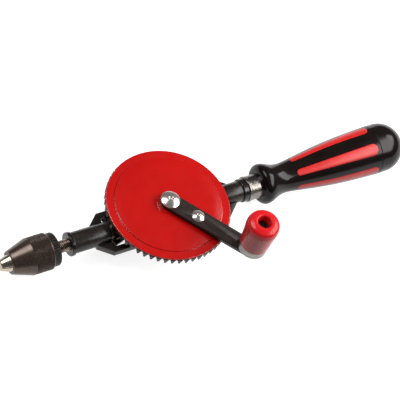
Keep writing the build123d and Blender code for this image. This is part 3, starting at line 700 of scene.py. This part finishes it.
copying.links.new(copy_in.outputs["Material"], coated.inputs["Material"])
copying.links.new(coated.outputs["Geometry"], copy_out.inputs["Geometry"])

flank, profile_shift, backlash = tan(radians(20)), 0.3, 0.3 * mm
tooth_addendum, tooth_overhang, root_depth = 1.05 * mm, 0.4 * mm, 0.4 * mm
tooth_width = gear_module * (pi - pi / 2 - 2 * profile_shift * flank) - backlash
tooth_tip = pinion_pitch - tooth_addendum
tooth_buried = wheel_root + root_depth
tip_half = tooth_width / 2 - (pinion_pitch - tooth_tip) * flank
root_half = tooth_width / 2 + (tooth_buried - pinion_pitch) * flank
tooth_profile = (
    (-root_half, tooth_buried), (-tip_half, tooth_tip), (tip_half, tooth_tip), (root_half, tooth_buried)
)
first_tooth = pi / wheel_teeth
tooth_points = []
for distance in (rim_radius + tooth_overhang, wheel_pitch - face_width):
    size = distance / wheel_pitch
    for half, height in tooth_profile:
        across = half * size
        tooth_points.append(
            (
                hub_x + distance * cos(first_tooth) - across * sin(first_tooth),
                distance * sin(first_tooth) + across * cos(first_tooth),
                height * size,
            )
        )
tooth_mesh = bpy.data.meshes.new("wheel_teeth")
tooth_faces = [(0, 1, 2, 3), (7, 6, 5, 4), (0, 4, 5, 1), (1, 5, 6, 2), (2, 6, 7, 3), (3, 7, 4, 0)]
tooth_mesh.from_pydata(tooth_points, [], tooth_faces)
teeth = settle("wheel_teeth", tooth_mesh)
teeth_edges = teeth.modifiers.new("edges", "BEVEL")
teeth_edges.width, teeth_edges.segments = 0.1 * mm, 1
teeth = cut(
    applied(teeth), copying, Count=wheel_teeth, Axis=(0, 0, 1), Centre=(hub_x, 0, 0), Material=gear_steel
)
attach(teeth, "wheel")

# ---- axle screw and nut ----
# The wheel turns on a shouldered screw, fixed in the frame with a nut underneath. Its chromed
# domed head, with a round socket in the middle, holds the wheel and the crank down.
screw_low, screw_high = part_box("axle_screw")
axle_radius, head_height, head_radius = 4.0 * mm, 2.7 * mm, 6.6 * mm
head_bottom = screw_high.z - head_height
dome_steps = 18
chrome = finish(
    "chrome_plate", (0.58, 0.52, 0.48), (0.70, 0.64, 0.60), 0.85, (0.18, 0.24), (0.02, 0.00003), 900
)


def domed_screw(name, centre, foot, shank, seat, side, head, crown, socket, floor_depth):
    """A screw with a round socket in a dome that rises from a short upright side."""
    rise = crown - seat - side
    ball = (head**2 + rise**2) / (2 * rise)
    dome = []
    for step in range(1, dome_steps + 1):
        radius = head + (socket * 1.25 - head) * step / dome_steps
        dome.append((crown - ball + sqrt(max(ball**2 - radius**2, 0)), radius))
    floor = dome[-1][0] - floor_depth
    return lathe(
        name,
        [
            (foot, 0),
            (foot, shank, 0.3 * mm),
            (seat, shank),
            (seat, head, 0.2 * mm),
            (seat + side, head, 0.3 * mm),
            *dome[:-1],
            (*dome[-1], 0.12 * mm),
            (dome[-1][0] - 0.1 * mm, socket),
            (floor, socket * 0.9, 0.4 * mm),
            (floor - 0.3 * mm, 0),
        ],
        sides=96,
        centre=centre,
    )


axle_screw = domed_screw(
    "axle_shoulder_screw", wheel_centre, screw_low.z, axle_radius, head_bottom, 0.7 * mm,
    head_radius, screw_high.z, 1.35 * mm, 1.4 * mm,
)
axle_screw.data.materials.append(chrome)
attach(axle_screw, "frame")
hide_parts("axle_screw")
nut = soften("axle_nut", "axle_hex_nut", 0.25 * mm)
nut.data.materials.append(bright_steel)
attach(nut, "frame")
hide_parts("axle_nut")

# ---- crank arm ----
# A flat steel bar, rounded at its ends and painted satin black. It is held on the wheel's boss
# by the axle screw's head and by a second chromed screw.
arm_screw_low, arm_screw_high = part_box("arm_screw")
arm_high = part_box("crank_arm")[1]
arm_paint = finish(
    "arm_paint",
    (0.018, 0.0100, 0.0085),
    (0.028, 0.0170, 0.0145),
    0.0,
    (0.32, 0.44),
    (0.2, 0.00005),
    1500,
    Specular_IOR_Level=0.3,
)
arm = soften("crank_arm", "crank_bar", 0.2 * mm)
arm.data.materials.append(arm_paint)
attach(arm, "wheel")
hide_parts("crank_arm")

arm_screw_centre = (arm_screw_low + arm_screw_high) / 2
arm_screw_radius, arm_head_radius = 2.0 * mm, 4.5 * mm
arm_screw = domed_screw(
    "arm_pan_screw", arm_screw_centre, arm_screw_low.z, arm_screw_radius, arm_high.z, 0.5 * mm,
    arm_head_radius, arm_screw_high.z, 1.0 * mm, 1.1 * mm,
)
arm_screw.data.materials.append(chrome)
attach(arm_screw, "wheel")
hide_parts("arm_screw")

# ---- crank knob ----
# A moulded red plastic knob that spins on a riveted steel pin. Its end is rounded over and has
# a deep hole in the middle, down to the head of the pin.
knob_low, knob_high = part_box("crank_knob")
knob_centre = (knob_low + knob_high) / 2
knob_radius = (knob_high.x - knob_low.x) / 2
foot_ring_low, foot_ring_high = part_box("knob_ring")
foot_top = foot_ring_high.z + 0.05 * mm
pin_bore, spigot_radius, foot_radius = 3.05 * mm, 8.55 * mm, 9.9 * mm
hole_mouth, hole_radius, hole_floor = 4.45 * mm, 4.2 * mm, knob_high.z - 7.0 * mm
knob_plastic = finish(
    "knob_plastic",
    (0.64, 0.010, 0.014),
    (0.70, 0.013, 0.018),
    0.0,
    (0.20, 0.30),
    (0.06, 0.0001),
    400,
    Subsurface_Weight=0.06,
    Subsurface_Scale=0.002,
    Specular_IOR_Level=0.25,
)
knob = lathe(
    "knob_moulding",
    [
        (knob_low.z, pin_bore),
        (knob_low.z, spigot_radius, 0.3 * mm),
        (foot_top, spigot_radius),
        (foot_top, foot_radius, 0.3 * mm),
        (knob_high.z - 5.4 * mm, knob_radius, 3.0 * mm),
        (knob_high.z - 1.5 * mm, knob_radius - 0.9 * mm, 2.2 * mm),
        (knob_high.z, knob_radius - 4.4 * mm, 3.2 * mm),
        (knob_high.z - 0.1 * mm, hole_mouth, 1.1 * mm),
        (hole_floor, hole_radius),
        (hole_floor, pin_bore),
    ],
    sides=128,
    centre=knob_centre,
)
knob.data.materials.append(knob_plastic)
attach(knob, "knob")
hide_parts("crank_knob")

# ---- knob ring ----
# A plated steel ring pressed on the foot of the knob, where it turns against the washer. It is
# brushed round and its edges are rolled.
foot_ring_bore, foot_ring_radius = 8.6 * mm, 9.7 * mm
upright_nickel = finish(
    "upright_nickel",
    (0.14, 0.13, 0.12),
    (0.27, 0.25, 0.235),
    1.0,
    (0.22, 0.36),
    (0.35, 0.00005),
    900,
    (1, 1, 9),
)
foot_ring = lathe(
    "knob_foot_ring",
    [
        (foot_ring_low.z, foot_ring_bore),
        (foot_ring_low.z, foot_ring_radius, 0.5 * mm),
        (foot_ring_high.z, foot_ring_radius, 0.4 * mm),
        (foot_ring_high.z, foot_ring_bore),
    ],
    sides=128,
    centre=knob_centre,
)
foot_ring.data.materials.append(upright_nickel)
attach(foot_ring, "knob")
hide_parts("knob_ring")
for name, metal in (("knob_pin", gear_steel), ("knob_washer", bright_steel)):
    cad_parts[name].data.materials.clear()
    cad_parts[name].data.materials.append(metal)

# ---- handle ring and ferrule ----
# A black steel ring stops the grip against the frame. Behind it a nickel-plated steel ferrule,
# brushed round and with a rolled front lip, keeps the end of the grip from splitting.
ring_low, ring_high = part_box("handle_lock_ring")
ferrule_low, ferrule_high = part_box("ferrule")
tang_radius, ferrule_bore = 4.0 * mm, 7.6 * mm
lock_ring = lathe(
    "stop_ring",
    [
        (ring_low.x, tang_radius),
        (ring_low.x, ring_high.z, 0.6 * mm),
        (ring_high.x, ring_high.z, 0.4 * mm),
        (ring_high.x, tang_radius),
    ],
)
lock_ring.data.materials.append(collar_black)
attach(lock_ring, "frame")
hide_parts("handle_lock_ring")

lip_radius, ferrule_radius = ferrule_high.z, 8.5 * mm
nickel = finish(
    "brushed_nickel",
    (0.13, 0.115, 0.105),
    (0.28, 0.255, 0.235),
    1.0,
    (0.22, 0.36),
    (0.35, 0.00005),
    900,
    (9, 1, 1),
)
ferrule = lathe(
    "ferrule_tube",
    [
        (ferrule_low.x, ferrule_bore, 0.2 * mm),
        (ferrule_low.x, lip_radius, 0.5 * mm),
        (ferrule_low.x + 1.5 * mm, lip_radius, 0.5 * mm),
        (ferrule_low.x + 1.9 * mm, ferrule_radius, 0.3 * mm),
        (ferrule_high.x, ferrule_radius),
        (ferrule_high.x, ferrule_bore),
    ],
)
ferrule.data.materials.append(nickel)
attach(ferrule, "frame")
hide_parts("ferrule")

# ---- grip ----
# A hollow moulding in gloss black plastic: a bead for the thumb at the front, a narrow waist,
# then a long swell to the end. The tang fills its front and spare bits lie in its rear.
grip_x, seam_x = ferrule_high.x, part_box("grip")[1].x
tenon_radius, store_radius = 7.55 * mm, 11.0 * mm
store_floor = seam_x - 45 * mm
stations = [
    (0, 11.2), (1.2, 12.8), (3.6, 14.05), (10.6, 12.25), (17.6, 10.5),
    (25.6, 10.95), (51.3, 14.45), (71.3, 16.2), (92.1, 17.15),
]


def spline_slopes(points):
    """The curvature at each point of a natural cubic spline through points."""
    count = len(points)
    gaps = [points[i + 1][0] - points[i][0] for i in range(count - 1)]
    rises = [(points[i + 1][1] - points[i][1]) / gaps[i] for i in range(count - 1)]
    lead, load = [0.0] * count, [0.0] * count
    for i in range(1, count - 1):
        pivot = 2 * (gaps[i - 1] + gaps[i]) - gaps[i - 1] * lead[i - 1]
        lead[i] = gaps[i] / pivot
        load[i] = (6 * (rises[i] - rises[i - 1]) - gaps[i - 1] * load[i - 1]) / pivot
    bends = [0.0] * count
    for i in range(count - 2, 0, -1):
        bends[i] = load[i] - lead[i] * bends[i + 1]
    return bends


grip_bends = spline_slopes(stations)


def grip_radius(x):
    """The radius of the grip's outside at x."""
    along = (x - grip_x) / mm
    i = max(n for n in range(len(stations) - 1) if n == 0 or stations[n][0] <= along)
    (x0, r0), (x1, r1) = stations[i], stations[i + 1]
    gap, a, b = x1 - x0, x1 - along, along - x0
    value = (grip_bends[i] * a**3 + grip_bends[i + 1] * b**3) / (6 * gap)
    value += (r0 / gap - grip_bends[i] * gap / 6) * a + (r1 / gap - grip_bends[i + 1] * gap / 6) * b
    return value * mm


gloss_black = finish(
    "gloss_black_plastic",
    (0.0060, 0.0035, 0.0032),
    (0.0100, 0.0065, 0.0060),
    0.0,
    (0.12, 0.19),
    (0.05, 0.00012),
    240,
    Specular_IOR_Level=0.2,
)
grip_steps = 90
swell = []
for step in range(grip_steps + 1):
    x = grip_x + (seam_x - grip_x) * (step / grip_steps) ** 1.15
    swell.append((x, grip_radius(x)))
grip = lathe(
    "grip_moulding",
    [
        (ferrule_low.x, tang_radius),
        (ferrule_low.x, tenon_radius),
        (grip_x, tenon_radius),
        (grip_x, swell[0][1] - 0.4 * mm, 0.3 * mm),
        *swell[1:-1],
        (seam_x, swell[-1][1], 0.25 * mm),
        (seam_x, store_radius),
        (store_floor, store_radius),
        (store_floor, tang_radius),
    ],
    sides=144,
)
grip.data.materials.append(gloss_black)
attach(grip, "frame")
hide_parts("grip")

# ---- inlay strips ----
# Six strips of soft red plastic, moulded into the grip and spaced evenly round it. They widen
# with the grip, have round ends and stand a hair proud.
strip_start, strip_end = grip_x + 26.7 * mm, grip_x + 89.8 * mm
front_half, rear_half = 2.4 * mm, 4.4 * mm
strip_proud, strip_sunk = 0.2 * mm, 0.7 * mm
strip_turn = radians(-27)
strip_rows, strip_columns = 64, 14


def strip_half(x):
    """Half the width of a strip at x: round at both ends and tapered between."""
    front_x, rear_x = strip_start + front_half, strip_end - rear_half
    if x < front_x:
        return sqrt(max(front_half**2 - (front_x - x) ** 2, 0))
    if x > rear_x:
        return sqrt(max(rear_half**2 - (x - rear_x) ** 2, 0))
    return front_half + (rear_half - front_half) * (x - front_x) / (rear_x - front_x)


strip_points, strip_faces = [], []
for layer in (1, 0):
    for row in range(strip_rows + 1):
        x = strip_start + (strip_end - strip_start) * (1 - cos(pi * row / strip_rows)) / 2
        half = strip_half(x)
        radius = grip_radius(x)
        nearness = 1 - min(min(x - strip_start, strip_end - x) / front_half, 1)
        for column in range(strip_columns + 1):
            aside = sin(pi * (column / strip_columns - 0.5))
            edge = max(abs(aside), nearness)
            height = strip_proud - (strip_proud + 0.15 * mm) * edge**10 if layer else -strip_sunk
            turn = strip_turn + half * aside / radius
            strip_points.append((x, (radius + height) * sin(turn), (radius + height) * cos(turn)))
wide = strip_columns + 1
lower = wide * (strip_rows + 1)
for row in range(strip_rows):
    for column in range(strip_columns):
        corner = row * wide + column
        quad = (corner, corner + 1, corner + wide + 1, corner + wide)
        strip_faces.append(quad)
        strip_faces.append(tuple(lower + index for index in reversed(quad)))
    for start in (row * wide, row * wide + strip_columns):
        strip_faces.append((start, start + wide, lower + start + wide, lower + start))
strip_mesh = bpy.data.meshes.new("inlay_strips")
strip_mesh.from_pydata(strip_points, [], strip_faces)
strips = settle("inlay_strips", strip_mesh)
strip_red = finish(
    "inlay_red",
    (0.580, 0.0110, 0.0090),
    (0.680, 0.0160, 0.0120),
    0.0,
    (0.28, 0.38),
    (0.2, 0.00006),
    1500,
    Specular_IOR_Level=0.4,
)
strips = cut(strips, copying, Count=6, Axis=(1, 0, 0), Centre=(0, 0, 0), Material=strip_red)
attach(strips, "frame")
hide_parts("grip_inlays")

# ---- end cap and seal ----
# The domed cap screws into the grip and closes the bit store. It is the same gloss black
# plastic; a thin rubber ring lies in the joint and shows as a fine dull line.
cap_low, cap_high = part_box("end_cap")
cap_radius = swell[-1][1]
cap_front = seam_x + 0.25 * mm
plug_radius, cap_bore, cap_wall = 10.9 * mm, 9.3 * mm, 2.4 * mm
dome_x = cap_high.x - cap_radius
cap_steps = 24
dome_turns = [pi / 2 * step / cap_steps for step in range(cap_steps)]
dome = [(dome_x + cap_radius * sin(turn), cap_radius * cos(turn)) for turn in dome_turns]
cap = lathe(
    "end_cap_dome",
    [
        (cap_low.x, cap_bore),
        (cap_low.x, plug_radius, 0.4 * mm),
        (cap_front, plug_radius),
        (cap_front, cap_radius, 0.25 * mm),
        *dome,
        (cap_high.x, 0),
        (cap_high.x - cap_wall, 0),
        (cap_front + 11.0 * mm, cap_bore, 1.0 * mm),
    ],
    sides=144,
)
cap.data.materials.append(gloss_black)
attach(cap, "cap")
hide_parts("end_cap")
seal_rubber = finish(
    "seal_rubber", (0.010, 0.010, 0.010), (0.018, 0.018, 0.018), 0.0, (0.55, 0.7), (0.2, 0.00005), 1200
)
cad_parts["cap_seal"].data.materials.clear()
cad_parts["cap_seal"].data.materials.append(seal_rubber)
